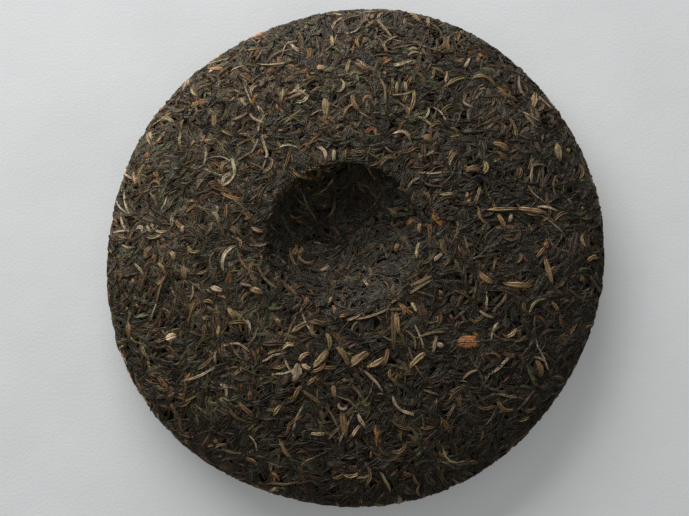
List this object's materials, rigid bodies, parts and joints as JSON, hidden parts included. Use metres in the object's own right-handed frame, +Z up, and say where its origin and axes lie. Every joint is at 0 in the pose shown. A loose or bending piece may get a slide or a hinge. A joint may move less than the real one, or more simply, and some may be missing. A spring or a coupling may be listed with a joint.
{
  "type": "pressed tea cake",
  "caption": "Round, domed cake of pressed dark tea leaf, back side up, with a deep knot hollow in its middle and leaves, buds and stems in relief.",
  "frame": {"origin": "middle of the base, on the surface that the cake rests on", "axes": "+Z up through the back of the cake and its hollow, +Y towards the far edge in the picture, +X to its right"},
  "size_m": [0.1962, 0.2008, 0.0253],
  "materials": {
    "pressed_leaf": "matt dark brown and black pressed leaf with tan and golden buds"
  },
  "bodies": {
    "root": {"tea_cake": "pressed_leaf"}
  },
  "joints": []
}
